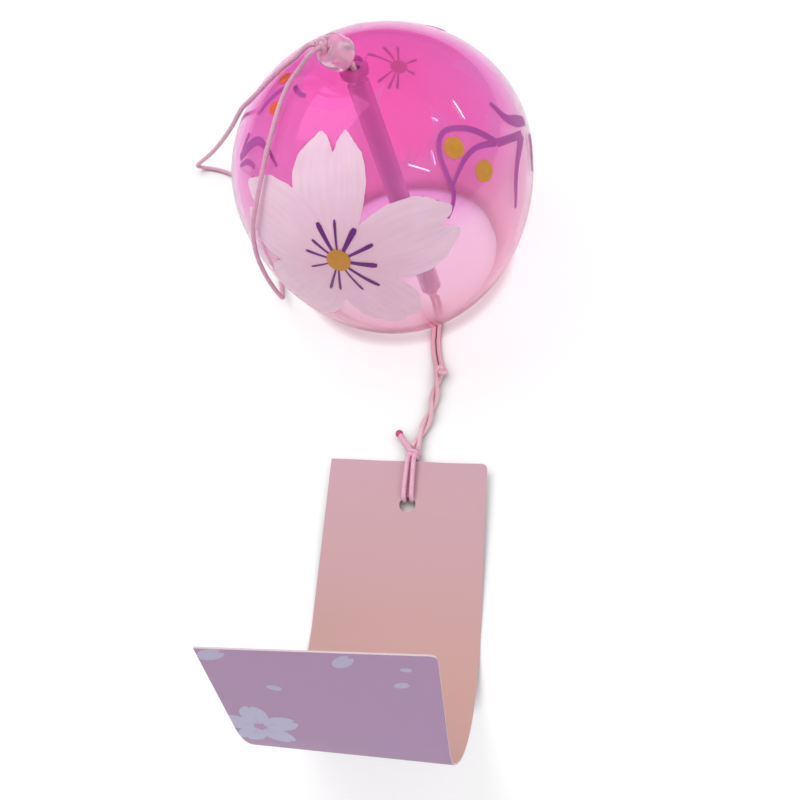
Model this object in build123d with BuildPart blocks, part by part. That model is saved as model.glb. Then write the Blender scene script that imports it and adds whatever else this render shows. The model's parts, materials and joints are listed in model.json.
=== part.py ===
from build123d import *
from math import asin, atan2, cos, degrees, hypot, pi, radians, sin, sqrt, tan
import os

# A furin, a small glass wind bell. It stands on its mouth as it was put down: the string comes
# out under the front of the rim, the paper strip lies in front and curls up, and the loop that
# it hangs from falls down its left side. All sizes are in millimetres. Z is up from the table,
# X runs to the right and Y away from the strip. The origin is on the table, under the middle of
# the bell and strip together.

# Glass globe
globe_radius = 40.0
widest_height = 37.0
crown_rise = 34.0
mouth_radius = 28.0
glass_wall = 1.5
rim_round_most = 0.45
rim_round_share = 0.38
crown_hole_radius = 2.5
crown_hole_round = 0.35
draped_radius = 40.0

# Cord
cord_diameter = 1.3
strand_gap = 0.15
table_gap = 0.02
arc_share = 0.45

# Room between pieces
clearance = 0.3
rim_touch_gap = 0.15
bead_touch_gap = 0.15

# Clear bead on the crown, leaning over beside the hole
bead_radius = 4.25
bead_length = 7.2
bead_round = 2.0
bead_bore_radius = 1.75
bead_bore_round = 0.3
bead_lean = 40.0
bead_heading = 210.0
bead_offset = 3.0
loop_knot_radius = 1.7

# Washer and knot inside the crown
stopper_radius = 3.6
stopper_thickness = 1.8
stopper_round = 0.4
stopper_bore_radius = 1.75
inner_knot_radius = 1.6
inner_knot_gap = 0.2

# Glass tube that strikes the bell
tube_radius = 2.8
tube_bore_radius = 1.75
tube_length = 61.0
tube_drop = 0.6
tube_round = 0.25
end_knot_radius = 1.9
end_knot_gap = 0.2
inner_tail_gap = 0.15
clapper_lean = 19.3
clapper_heading = 298.5

# String inside the mouth: where it bends down to the table
inner_bend_back = 19.2
inner_bend_height = 3.3
inner_foot_back = 20.8

# Where the string passes under the rim, and how far it runs along the table
rim_crossing_x = 10.5
rim_cord_back = 22.8
rim_cord_front = 30.0
exit_gap = 0.8

# String in front of the bell
mid_knot_radius = 1.5
mid_knot_place = (12.3, -41.2)
tie_knot_radius = 2.0
tie_knot_x = 7.3
tie_knot_behind_strip = 2.6
cord_end_diameter = 1.7
cord_end_swell_radius = 1.05

# Tie through the strip's hole: the angles at which it leaves and meets its knot, and how far it
# bows. Each bend has its share of the way from the strip's head to the hole, and the share of
# the strands' full spread that they have reached there.
tie_knot_room = 0.6
tie_rise = 48.0
tie_fall = 29.0
tie_bow = 0.12
tie_over_shares = ((0.18, 0.25), (0.52, 0.6), (0.79, 0.85), (1.0, 1.0))
tie_under_shares = ((1.0, 1.0), (0.79, 0.85), (0.5, 0.6), (0.2, 0.3))

# Paper strip
strip_width = 41.0
strip_length = 138.0
paper_thickness = 0.35
strip_x = 6.3
strip_head_y = -69.2
flat_length = 43.0
curl_radius = 35.5
tip_lean_back = 12.0
hole_radius = 2.1
hole_from_head = 12.0
hole_aside = 0.7
hole_spread = 2.0

# The bell stands on the back of its rim and on the string under the front of it, so it leans
# back a little, away from the string.
cord_radius = cord_diameter / 2
strand_pitch = cord_diameter + strand_gap
cord_height = cord_radius + table_gap
rim_lift = cord_diameter + rim_touch_gap
bell_lean = asin(rim_lift / (2 * mouth_radius))
lean_turn = asin(rim_crossing_x / mouth_radius)

# The curled strip's side: how steeply its head slopes down to the table, so that the string
# passes under it, and how far the curl bulges in front.
under_strip_height = table_gap + cord_diameter + clearance
strip_slope = atan2(under_strip_height, flat_length - hole_from_head - hole_radius)
curl_dip = curl_radius * (1 - cos(strip_slope))
head_height = curl_dip + flat_length * tan(strip_slope)
curl_turn = strip_slope + radians(90 + tip_lean_back)
strip_flat_run = hypot(flat_length, head_height - curl_dip)
tip_length = strip_length - strip_flat_run - curl_radius * curl_turn
strip_reach = flat_length + curl_radius * (sin(strip_slope) + 1)

# Place of the bell, which puts the origin under the middle of bell and strip
bell_x = sin(lean_turn) * sin(bell_lean) * widest_height
back_reach = globe_radius + cos(lean_turn) * sin(bell_lean) * widest_height
bell_y = (strip_reach - strip_head_y - back_reach) / 2
level_axis = Vector(cos(lean_turn), sin(lean_turn), 0)
bell_up = Vector(-sin(lean_turn) * sin(bell_lean), cos(lean_turn) * sin(bell_lean), cos(bell_lean))
bell_base = Vector(bell_x, bell_y, mouth_radius * sin(bell_lean))
bell_plane = Plane(origin=bell_base, x_dir=level_axis, z_dir=bell_up)
bell_section = Plane(origin=bell_base, x_dir=level_axis, z_dir=level_axis.cross(bell_up))
bell_axis = Axis(bell_base, bell_up)
bell_height = widest_height + crown_rise

# The rim's edges are rounded, but never more than the wall is thick there. The side curves on
# one large circle, whose slope at the mouth makes the level rim wider than the wall.
side_bend = (globe_radius - mouth_radius) / 2 + widest_height**2 / (2 * (globe_radius - mouth_radius))
rim_wall = glass_wall * (1 - (globe_radius - mouth_radius) / side_bend)
rim_round = min(rim_round_most, rim_round_share * rim_wall)


def beside_bell(x, y, z):
    """A point measured from where the bell's axis meets the table."""
    return Vector(bell_x + x, bell_y + y, z)


def dome_drop(radius, dome_radius, rise):
    """How far a dome has fallen from its top at this distance from its axis."""
    return rise * (1 - sqrt(1 - (radius / dome_radius) ** 2))


def corner_radii(points):
    """The largest arcs that the runs on both sides of each corner leave room for."""
    radii = []
    for before, corner, after in zip(points, points[1:], points[2:]):
        run_in = corner - before
        run_out = after - corner
        half_turn = radians(run_in.get_angle(run_out)) / 2
        radii.append(arc_share * min(run_in.length, run_out.length) / tan(half_turn))
    return radii


def cord_route(points):
    """Straight runs joined by arcs, through a list of points."""
    with BuildLine() as route:
        FilletPolyline(*points, radius=corner_radii(points))
    return route.wire()


def side_by_side(points, aside):
    """Two routes, one on each side of the given one."""
    return [cord_route([point + side * aside for point in points]) for side in (-1, 1)]


def cord_end_plane(route):
    return Plane(origin=route @ 0, z_dir=route % 0)


def print_cord(name, piece, routes, points):
    """Compares the cord's volume with its section times its length, and prints its bends."""
    length = sum(route.length for route in routes)
    share = piece.part.volume / (pi * cord_radius**2 * length)
    radii = [round(radius, 1) for radius in corner_radii(points)]
    print(f"{name}: {length:.1f} mm in {len(routes)} strands, volume share {share:.4f}, radii {radii}")


# Glass bell: a globe cut off at its mouth, blown to an even wall, with a hole in its crown
with BuildPart() as glass_bell:
    with BuildSketch(bell_section):
        with BuildLine():
            inner_radius = globe_radius - glass_wall
            inner_rise = crown_rise - glass_wall
            inner_mouth = mouth_radius - glass_wall
            dome_centre = (0, widest_height)
            EllipticalCenterArc(dome_centre, globe_radius, crown_rise, 0, arc_size=90)
            TangentArc((globe_radius, widest_height), (mouth_radius, 0), tangent=(0, -1))
            Line((mouth_radius, 0), (inner_mouth, 0))
            TangentArc((inner_radius, widest_height), (inner_mouth, 0), tangent=(0, -1))
            EllipticalCenterArc(dome_centre, inner_radius, inner_rise, 0, arc_size=90)
            Line((0, widest_height + inner_rise), (0, bell_height))
        make_face()
    revolve(axis=bell_axis)
    with BuildSketch(bell_plane.offset(bell_height)):
        Circle(crown_hole_radius)
    extrude(amount=2 * glass_wall, both=True, mode=Mode.SUBTRACT)
    fillet(glass_bell.edges().sort_by(bell_axis)[:2], rim_round)
    fillet(glass_bell.edges().sort_by(bell_axis)[-2:], crown_hole_round)
glass_bell.part.label = "glass_bell"

# Clear bead: a short barrel with its bore along its length, resting on the crown
lean_side = Vector(cos(radians(bead_heading)), sin(radians(bead_heading)), 0)
lean_across = Vector(-sin(radians(bead_heading)), cos(radians(bead_heading)), 0)
bead_up = lean_side * sin(radians(bead_lean)) + Vector(0, 0, cos(radians(bead_lean)))
bead_corner_out = bead_radius - bead_round
bead_corner_down = bead_length / 2 - bead_round
bead_seat = bead_corner_out * sin(radians(bead_lean)) + bead_corner_down * cos(radians(bead_lean)) + bead_round
bead_height = bell_height - dome_drop(bead_offset, globe_radius, crown_rise) + bead_seat + bead_touch_gap
bead_centre = bell_base + bell_up * bead_height + lean_side * bead_offset
loop_knot_stand = sqrt((loop_knot_radius + clearance) ** 2 - bead_bore_radius**2)
loop_knot_centre = bead_centre + bead_up * (bead_length / 2 + loop_knot_stand)
bead_section = Plane(origin=bead_centre, x_dir=lean_across, z_dir=lean_across.cross(bead_up))

with BuildPart() as crown_bead:
    with BuildSketch(bead_section) as barrel:
        with Locations(((bead_bore_radius + bead_radius) / 2, 0)):
            Rectangle(bead_radius - bead_bore_radius, bead_length)
        fillet(barrel.vertices().group_by(Axis.X)[-1], bead_round)
        fillet(barrel.vertices().group_by(Axis.X)[0], bead_bore_round)
    revolve(axis=Axis(bead_centre, bead_up))
crown_bead.part.label = "crown_bead"

# Knot of the hanging loop, seated on the mouth of the bead's bore
with BuildPart(Plane(loop_knot_centre)) as loop_knot:
    Sphere(loop_knot_radius)
loop_knot.part.label = "loop_knot"

# Hanging loop: one strand from the knot down over the left of the globe to the table, back
# behind it to a sharp fold at the loop's end, and up again over the globe to the knot. Its two
# ends are measured from the knot, so that they follow the bead. The rest is placed for a globe of
# the draped radius, and moves out with a wider one.
loop_start = [loop_knot_centre + Vector(-1.22, -0.75, -0.12), loop_knot_centre + Vector(-3.42, -1.35, -1.42)]
loop_finish = [loop_knot_centre + Vector(-3.42, 1.95, -0.82), loop_knot_centre + Vector(-1.27, 0.7, 0.02)]
loop_middle = [
    beside_bell(x * globe_radius / draped_radius, y * globe_radius / draped_radius, z)
    for x, y, z in (
        (-11.2, -1.8, 75.9),
        (-13.2, -1.0, 73.3),
        (-15.4, -1.5, 71.4),
        (-17.1, -4.4, 70.1),
        (-18.4, -8.6, 68.8),
        (-19.7, -13.1, 66.9),
        (-21.3, -17.6, 64.2),
        (-23.2, -22.0, 60.2),
        (-25.7, -25.7, 54.8),
        (-28.6, -27.4, 47.8),
        (-30.2, -28.2, 39.5),
        (-30.9, -27.2, 30.0),
        (-31.6, -24.6, 20.5),
        (-32.6, -20.9, 11.5),
        (-34.8, -15.6, 4.2),
        (-37.6, -8.0, 0.7),
        (-40.4, 2.4, 0.7),
        (-43.4, 14.0, 0.7),
        (-48.4, 25.4, 0.7),
        (-55.4, 34.4, 0.7),
        (-62.6, 39.4, 0.7),
        (-68.0, 41.6, 0.7),
        (-71.4, 42.3, 0.8),
        (-73.1, 42.0, 1.8),
        (-72.9, 40.8, 3.4),
        (-70.6, 38.9, 6.4),
        (-66.0, 35.4, 11.6),
        (-59.0, 29.2, 20.4),
        (-50.5, 21.6, 32.0),
        (-42.2, 13.8, 44.2),
        (-36.0, 6.6, 54.4),
        (-31.6, 1.4, 61.4),
        (-27.9, 0.2, 64.8),
        (-25.0, 1.6, 66.6),
        (-22.0, 3.6, 68.2),
        (-18.2, 4.6, 70.5),
        (-14.4, 3.9, 73.3),
        (-11.4, 2.6, 76.6),
    )
]
loop_points = loop_start + loop_middle + loop_finish
loop_route = cord_route(loop_points)
with BuildPart() as hanging_loop:
    with BuildSketch(cord_end_plane(loop_route)):
        Circle(cord_radius)
    sweep(path=loop_route)
hanging_loop.part.label = "hanging_loop"
print_cord("hanging_loop", hanging_loop, [loop_route], loop_points)

# Washer inside the crown, which the bell hangs on
inner_crown_height = bell_height - glass_wall
stopper_drop = dome_drop(stopper_radius, globe_radius - glass_wall, crown_rise - glass_wall)
stopper_top = inner_crown_height - stopper_drop - clearance
stopper_bottom = stopper_top - stopper_thickness
with BuildPart() as inner_stopper:
    with BuildSketch(bell_plane.offset(stopper_bottom)):
        Circle(stopper_radius)
        Circle(stopper_bore_radius, mode=Mode.SUBTRACT)
    extrude(amount=stopper_thickness)
    fillet(inner_stopper.edges().filter_by(GeomType.CIRCLE).group_by(SortBy.RADIUS)[-1], stopper_round)
inner_stopper.part.label = "inner_stopper"

# Cord through bead, crown hole and washer: two strands side by side
crown_cord_points = [
    loop_knot_centre - bead_up * (loop_knot_radius + clearance),
    bead_centre - bead_up * (bead_length / 2 + clearance),
    bell_base + bell_up * (bell_height - clearance),
    bell_base + bell_up * stopper_bottom,
]
crown_cord_routes = side_by_side(crown_cord_points, lean_across * (strand_pitch / 2))
with BuildPart() as crown_cord:
    for route in crown_cord_routes:
        with BuildSketch(cord_end_plane(route)):
            Circle(cord_radius)
        sweep(path=route)
crown_cord.part.label = "crown_cord"
print_cord("crown_cord", crown_cord, crown_cord_routes, crown_cord_points)

# Knot under the washer, which the clapper swings from
pivot_height = stopper_bottom - inner_knot_gap - inner_knot_radius
clapper_pivot = bell_base + bell_up * pivot_height
with BuildPart(Plane(clapper_pivot)) as inner_knot:
    Sphere(inner_knot_radius)
inner_knot.part.label = "inner_knot"

# Clapper: a glass tube on a doubled cord, leaning to the front where the string pulls it
clapper_side = Vector(cos(radians(clapper_heading)), sin(radians(clapper_heading)), 0)
clapper_down = clapper_side * sin(radians(clapper_lean)) - bell_up * cos(radians(clapper_lean))
clapper_down = clapper_down.normalized()
clapper_across = Vector(clapper_down.Y, -clapper_down.X, 0).normalized()
end_knot_stand = sqrt((end_knot_radius + end_knot_gap) ** 2 - tube_bore_radius**2)
end_knot_centre = clapper_pivot + clapper_down * (tube_drop + tube_length + end_knot_stand)


def clapper_plane(distance):
    """A plane square to the tube, this far from the knot that it swings from."""
    return Plane(origin=clapper_pivot + clapper_down * distance, x_dir=clapper_across, z_dir=clapper_down)


with BuildPart() as clapper_tube:
    with BuildSketch(clapper_plane(tube_drop)):
        Circle(tube_radius)
        Circle(tube_bore_radius, mode=Mode.SUBTRACT)
    extrude(amount=tube_length)
    fillet(clapper_tube.edges().filter_by(GeomType.CIRCLE), tube_round)
clapper_tube.part.label = "clapper_tube"

clapper_cord_start = inner_knot_radius + clearance
clapper_cord_length = (end_knot_centre - clapper_pivot).length - end_knot_radius - clapper_cord_start
with BuildPart() as clapper_cord:
    with BuildSketch(clapper_plane(clapper_cord_start)):
        with Locations((-strand_pitch / 2, 0), (strand_pitch / 2, 0)):
            Circle(cord_radius)
    extrude(amount=clapper_cord_length + cord_radius)
clapper_cord.part.label = "clapper_cord"

with BuildPart(Plane(end_knot_centre)) as clapper_end_knot:
    Sphere(end_knot_radius)
clapper_end_knot.part.label = "clapper_end_knot"

# String inside the mouth, from the clapper's end knot down to the table. It bends when the
# clapper moves, and is made in two halves that meet face to face.
strand_aside = Vector(strand_pitch / 2, 0, 0)
inner_tail_top = end_knot_centre + clapper_down * (end_knot_radius + inner_tail_gap)
inner_tail_bend = beside_bell(rim_crossing_x, -inner_bend_back, inner_bend_height)
inner_tail_foot = beside_bell(rim_crossing_x, -inner_foot_back, cord_height)
inner_tail_middle = (inner_tail_bend + inner_tail_foot) * 0.5
rim_cord_start = beside_bell(rim_crossing_x, -rim_cord_back, cord_height)
upper_points = [inner_tail_top, inner_tail_bend, inner_tail_middle]
upper_routes = side_by_side(upper_points, strand_aside)
with BuildPart() as inner_tail_upper:
    for route in upper_routes:
        with BuildSketch(cord_end_plane(route)):
            Circle(cord_radius)
        sweep(path=route)
inner_tail_upper.part.label = "inner_tail_upper"
print_cord("inner_tail_upper", inner_tail_upper, upper_routes, upper_points)

lower_points = [inner_tail_middle, inner_tail_foot, rim_cord_start]
lower_routes = side_by_side(lower_points, strand_aside)
with BuildPart() as inner_tail_lower:
    for route in lower_routes:
        with BuildSketch(cord_end_plane(route)):
            Circle(cord_radius)
        sweep(path=route)
inner_tail_lower.part.label = "inner_tail_lower"
print_cord("inner_tail_lower", inner_tail_lower, lower_routes, lower_points)

# String under the rim, which the front of the bell stands on
with BuildPart() as rim_cord:
    with BuildSketch(Plane(origin=rim_cord_start, x_dir=(1, 0, 0), z_dir=(0, -1, 0))):
        with Locations((-strand_pitch / 2, 0), (strand_pitch / 2, 0)):
            Circle(cord_radius)
    extrude(amount=rim_cord_front - rim_cord_back)
rim_cord.part.label = "rim_cord"

# String from the rim to the knot half way
tail_start_y = -rim_cord_front - exit_gap
tail_points = [
    beside_bell(*place)
    for place in (
        (rim_crossing_x, tail_start_y, cord_height),
        (10.8, -33.6, cord_height),
        (11.5, -36.8, 0.75),
        (12.2, -40.0, 1.2),
    )
]
tail_routes = side_by_side(tail_points, strand_aside)
with BuildPart() as tail_cord:
    for route in tail_routes:
        with BuildSketch(cord_end_plane(route)):
            Circle(cord_radius)
        sweep(path=route)
tail_cord.part.label = "tail_cord"
print_cord("tail_cord", tail_cord, tail_routes, tail_points)

mid_knot_centre = beside_bell(*mid_knot_place, mid_knot_radius + table_gap)
with BuildPart(Plane(mid_knot_centre)) as mid_knot:
    Sphere(mid_knot_radius)
mid_knot.part.label = "mid_knot"

# String from there to the knot at the strip's head
tie_knot_y = strip_head_y + tie_knot_behind_strip
tie_knot_centre = beside_bell(tie_knot_x, tie_knot_y, tie_knot_radius + table_gap)
lower_cord_points = [
    beside_bell(*place)
    for place in (
        (12.2, -42.2, 1.2),
        (11.8, -45.6, cord_height),
        (11.5, -49.6, cord_height),
        (10.9, -53.8, cord_height),
        (9.7, -58.0, cord_height),
        (8.3, -61.6, 0.9),
        (7.5, -64.9, 1.7),
    )
]
lower_cord_routes = side_by_side(lower_cord_points, strand_aside)
with BuildPart() as lower_cord:
    for route in lower_cord_routes:
        with BuildSketch(cord_end_plane(route)):
            Circle(cord_radius)
        sweep(path=route)
lower_cord.part.label = "lower_cord"
print_cord("lower_cord", lower_cord, lower_cord_routes, lower_cord_points)

# Knot at the strip's head, with the cord's cut end sticking out of it
cord_end_points = [
    tie_knot_centre,
    beside_bell(5.2, -64.4, 2.2),
    beside_bell(2.5, -60.2, 1.6),
]
cord_end_route = cord_route(cord_end_points)
with BuildPart() as tie_knot:
    with Locations(tie_knot_centre):
        Sphere(tie_knot_radius)
    with BuildSketch(cord_end_plane(cord_end_route)):
        Circle(cord_end_diameter / 2)
    sweep(path=cord_end_route)
    with Locations(cord_end_points[-1]):
        Sphere(cord_end_swell_radius)
tie_knot.part.label = "tie_knot"

# Paper strip: its head slopes down over the string, then it curls up and leans back
strip_side = Plane(
    origin=beside_bell(strip_x + strip_width / 2, strip_head_y, 0), x_dir=(0, -1, 0), z_dir=(-1, 0, 0)
)
slope_along = Vector(cos(strip_slope), -sin(strip_slope))
slope_up = Vector(sin(strip_slope), cos(strip_slope))
with BuildPart() as tanzaku:
    with BuildSketch(strip_side):
        with BuildLine():
            under_flat = Line((0, head_height), (flat_length, curl_dip))
            under_curl = JernArc(under_flat @ 1, slope_along, curl_radius, degrees(curl_turn))
            under_tip = Line(under_curl @ 1, under_curl @ 1 + (under_curl % 1) * tip_length)
            top_start = under_flat @ 0 + slope_up * paper_thickness
            top_bend = under_flat @ 1 + slope_up * paper_thickness
            top_flat = Line(top_start, top_bend)
            top_curl = JernArc(top_bend, slope_along, curl_radius - paper_thickness, degrees(curl_turn))
            top_tip = Line(top_curl @ 1, top_curl @ 1 + (top_curl % 1) * tip_length)
            Line(under_flat @ 0, top_flat @ 0)
            Line(under_tip @ 1, top_tip @ 1)
        make_face()
    extrude(amount=strip_width)
    hole_place = beside_bell(strip_x + hole_aside, strip_head_y - hole_from_head, 0)
    with BuildSketch(Plane(origin=hole_place)):
        Circle(hole_radius)
    extrude(amount=head_height + paper_thickness, mode=Mode.SUBTRACT)
tanzaku.part.label = "tanzaku"


def over_strip(along):
    """Height of a cord that lies on the strip, this far from the strip's head."""
    paper_top = head_height + paper_thickness / cos(strip_slope) - along * tan(strip_slope)
    return paper_top + clearance + cord_radius


# Tie: two strands from the knot over the strip's head, down through its hole and back under it
tie_start = tie_knot_radius + tie_knot_room
tie_rise_run = tie_start * cos(radians(tie_rise)) - tie_knot_behind_strip
tie_fall_run = tie_start * cos(radians(tie_fall)) - tie_knot_behind_strip
tie_side_points = [(tie_rise_run, tie_knot_centre.Z + tie_start * sin(radians(tie_rise)), 0)]
for along_share, spread_share in tie_over_shares:
    along = hole_from_head * along_share
    tie_side_points.append((along, over_strip(along) + tie_bow * sin(pi * along_share), spread_share))
for along_share, spread_share in tie_under_shares:
    along = hole_from_head * along_share
    tie_side_points.append((along, cord_height + table_gap * sin(pi * along_share), spread_share))
tie_side_points.append((tie_fall_run, tie_knot_centre.Z - tie_start * sin(radians(tie_fall)), 0))
tie_routes = []
for side in (-1, 1):
    strand_points = []
    for along, height, spread_share in tie_side_points:
        half_spread = strand_pitch / 2 + spread_share * (hole_spread - strand_pitch) / 2
        middle_x = tie_knot_x + spread_share * (strip_x + hole_aside - tie_knot_x)
        strand_points.append(beside_bell(middle_x + side * half_spread, strip_head_y - along, height))
    tie_routes.append(cord_route(strand_points))
with BuildPart() as tie_loop:
    for route in tie_routes:
        with BuildSketch(cord_end_plane(route)):
            Circle(cord_radius)
        sweep(path=route)
tie_loop.part.label = "tie_loop"
print_cord("tie_loop", tie_loop, tie_routes, strand_points)

print("bell place", round(bell_x, 3), round(bell_y, 3), "lean", round(degrees(bell_lean), 3))
print("bell up", bell_up, "level axis", level_axis)
print("pivot", clapper_pivot, "clapper down", clapper_down, "across", clapper_across)
print("loop knot", loop_knot_centre, "bead", bead_centre, bead_up)
print("tie knot", tie_knot_centre, "hole", hole_place, "slope", round(degrees(strip_slope), 3))
print("tail pivot", beside_bell(rim_crossing_x, -rim_cord_front - exit_gap / 2, cord_height))

pieces = [
    glass_bell,
    crown_bead,
    loop_knot,
    hanging_loop,
    inner_stopper,
    crown_cord,
    inner_knot,
    clapper_tube,
    clapper_cord,
    clapper_end_knot,
    inner_tail_upper,
    inner_tail_lower,
    rim_cord,
    tail_cord,
    mid_knot,
    lower_cord,
    tie_knot,
    tie_loop,
    tanzaku,
]
os.makedirs("parts", exist_ok=True)
for piece in pieces:
    export_step(piece.part, f"parts/{piece.part.label}.step")
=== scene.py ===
# %% [markdown]
# A furin is a small blown glass bell with a painted decoration, a glass tube that strikes it,
# and a strip of paper that catches the wind. Here it stands on its mouth on a table, with its
# hanging loop thrown over one side and the strip curled up in front. The construction comes from
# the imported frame; this lesson makes the looks around it. All lengths are in metres, so the
# sizes below are written in millimetres and multiplied by MM.

# %% Load the frame
import bpy
import json
from math import acos, cos, degrees, pi, radians, sin, sqrt, tau
from mathutils import Matrix, Vector


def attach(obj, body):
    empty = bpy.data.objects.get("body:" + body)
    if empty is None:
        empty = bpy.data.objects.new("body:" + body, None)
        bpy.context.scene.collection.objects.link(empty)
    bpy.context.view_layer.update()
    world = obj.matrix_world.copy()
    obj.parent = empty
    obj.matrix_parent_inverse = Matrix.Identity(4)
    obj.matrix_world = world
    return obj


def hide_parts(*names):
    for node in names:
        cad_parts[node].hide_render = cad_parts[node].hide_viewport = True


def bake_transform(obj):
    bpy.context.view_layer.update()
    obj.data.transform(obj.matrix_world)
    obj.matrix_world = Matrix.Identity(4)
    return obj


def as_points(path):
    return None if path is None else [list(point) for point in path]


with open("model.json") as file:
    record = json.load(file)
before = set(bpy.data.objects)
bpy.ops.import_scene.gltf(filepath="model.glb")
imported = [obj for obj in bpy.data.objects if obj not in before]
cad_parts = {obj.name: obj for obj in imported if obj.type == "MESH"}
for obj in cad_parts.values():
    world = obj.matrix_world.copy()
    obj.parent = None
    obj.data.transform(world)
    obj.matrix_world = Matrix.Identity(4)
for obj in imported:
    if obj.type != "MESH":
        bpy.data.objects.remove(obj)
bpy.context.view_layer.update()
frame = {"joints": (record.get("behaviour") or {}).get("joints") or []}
MM = 0.001
joints = {joint["name"]: joint for joint in frame["joints"]}

# %% [markdown]
# The joints say where things are: the clapper turns about the bell's own axis, the bead about
# its bore, and so on. Reading them here keeps every new piece in line with the construction.


# %% Places from the frame
def turn_to(x, y, z):
    """The turn that brings the three axes to these directions."""
    return Matrix((x, y, z)).transposed().to_4x4()


mouth_radius = 28.0 * MM
clapper_pivot = Vector(joints["clapper_turn"]["pos_m"])
bell_up = Vector(joints["clapper_turn"]["axis"]).normalized()
bell_lean = acos(bell_up.z)
bell_base = clapper_pivot - bell_up * ((clapper_pivot.z - mouth_radius * sin(bell_lean)) / bell_up.z)
bell_across = Vector((bell_up.y, -bell_up.x, 0)).normalized()
bell_turn = turn_to(bell_across, bell_up.cross(bell_across), bell_up)
bell_place = Matrix.Translation(bell_base) @ bell_turn
bead_centre = Vector(joints["bead_turn"]["pos_m"])
bead_up = Vector(joints["bead_turn"]["axis"]).normalized()
loop_knot_centre = Vector(joints["loop_lift"]["pos_m"])
clapper_down = Vector(joints["tube_spin"]["axis"]).normalized()
tie_knot_centre = Vector(joints["strip_lift"]["pos_m"])
print("bell stands at", bell_base, "and leans", round(degrees(bell_lean), 2), "degrees")


def beside_bell(place):
    """A point from millimetres measured where the bell's axis meets the table."""
    return Vector((bell_base.x + place[0] * MM, bell_base.y + place[1] * MM, place[2] * MM))


# %% [markdown]
# The camera comes first. The photograph looks down at about 56 degrees, a little from the right,
# so the bell is seen over its shoulder and the strip almost from above. The camera is given as a
# place and two directions, which hold its roll too.


# %% Camera
def add_object(name, data):
    """A new object with this data, linked to the scene."""
    made = bpy.data.objects.new(name, data)
    bpy.context.scene.collection.objects.link(made)
    return made


camera_place = Vector((60.46, -142.64, 237.89)) * MM
camera_forward = Vector((-0.2035, 0.5177, -0.8310)).normalized()
camera_right = Vector((0.9788, 0.0863, -0.1859))
camera_lens = 47.7
sensor_width = 36.0
camera_right = (camera_right - camera_forward * camera_right.dot(camera_forward)).normalized()
camera_up = camera_right.cross(camera_forward)
camera_data = bpy.data.cameras.new("camera")
camera_data.lens = camera_lens
camera_data.sensor_width = sensor_width
camera_data.clip_start = 1 * MM
camera = add_object("camera", camera_data)
camera_turn = turn_to(camera_right, camera_up, -camera_forward)
camera.matrix_world = Matrix.Translation(camera_place) @ camera_turn
bpy.context.scene.camera = camera
print("camera at", camera_place)

# %% [markdown]
# Small helpers that every step uses. Operators work on whatever is selected, so each piece
# starts by deselecting everything and ends as the only selected object.


# %% Helpers for operators
def deselect():
    if bpy.context.mode != "OBJECT":
        bpy.ops.object.mode_set(mode="OBJECT")
    bpy.ops.object.select_all(action="DESELECT")


def select(*pieces):
    deselect()
    for piece in pieces:
        piece.select_set(True)
    bpy.context.view_layer.objects.active = pieces[0]
    return pieces[0]


def modify(piece, kind, **settings):
    """Adds one modifier with these settings and applies it at once."""
    select(piece)
    modifier = piece.modifiers.new(kind.title(), kind)
    for name, value in settings.items():
        setattr(modifier, name, value)
    bpy.ops.object.modifier_apply(modifier=modifier.name)
    return piece


def settle(piece, place):
    """Moves a finished mesh to its place and leaves its object at the origin, unturned."""
    select(piece)
    piece.matrix_world = place
    bpy.ops.object.transform_apply(location=True, rotation=True, scale=True)
    return piece


def smooth(piece, angle=40):
    select(piece)
    bpy.ops.object.shade_smooth_by_angle(angle=radians(angle))
    return piece


def join(name, pieces):
    select(*pieces)
    if len(pieces) > 1:
        bpy.ops.object.join()
    joined = bpy.context.object
    joined.name = joined.data.name = name
    return joined


def finish_piece(piece, name, body, material, replaces=()):
    """Names a piece, dresses it, hangs it on its body, and hides the parts that it replaces."""
    piece.name = piece.data.name = name
    if material is not None:
        piece.data.materials.clear()
        piece.data.materials.append(material)
    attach(piece, body)
    if replaces:
        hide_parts(*replaces)
    print(name, "on", body, "with", len(piece.data.polygons) if piece.type == "MESH" else "curve", "faces")
    return piece


# %% [markdown]
# Round things are turned, as on a lathe: a ring of vertices is extruded and scaled from one
# (radius, height) to the next. That keeps the faces in even rings, which glass needs, because
# every unevenness shows in its reflections.


# %% Turning on a lathe
def turned(profile, sides, closed=False):
    deselect()
    radius, height = profile[0]
    bpy.ops.mesh.primitive_circle_add(vertices=sides, radius=radius)
    piece = bpy.context.object
    bpy.ops.object.mode_set(mode="EDIT")
    bpy.ops.mesh.select_all(action="SELECT")
    bpy.ops.transform.translate(value=(0, 0, height))
    for next_radius, next_height in list(profile[1:]) + list(profile[:1] if closed else []):
        bpy.ops.mesh.extrude_region_move(TRANSFORM_OT_translate={"value": (0, 0, next_height - height)})
        scale = next_radius / radius
        bpy.ops.transform.resize(value=(scale, scale, 1), center_override=(0, 0, next_height))
        radius, height = next_radius, next_height
    bpy.ops.mesh.select_all(action="SELECT")
    bpy.ops.mesh.remove_doubles(threshold=0.001 * MM)
    bpy.ops.mesh.normals_make_consistent(inside=False)
    bpy.ops.object.mode_set(mode="OBJECT")
    return piece


# %% [markdown]
# A cord follows a route of listed points. They are the control points of a NURBS spline,
# which rounds every corner as a limp string does. A twisted cord is made of plies that wind
# round that line, so its shape is real and not only a texture.

# %% Routes and tubes
cord_diameter = 1.3 * MM
ply_share = 0.58
tight_pitch = 3.0 * MM
tail_pitch = 2.6 * MM
string_step = 0.3 * MM
fine_step = 0.2 * MM


def curve_through(name, kind, points):
    """A new curve object with one spline of this kind over these points."""
    data = bpy.data.curves.new(name, "CURVE")
    data.dimensions = "3D"
    spline = data.splines.new(kind)
    spline.points.add(len(points) - 1)
    for control, point in zip(spline.points, points):
        control.co = (*point, 1)
    return add_object(name, data), data, spline


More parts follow.
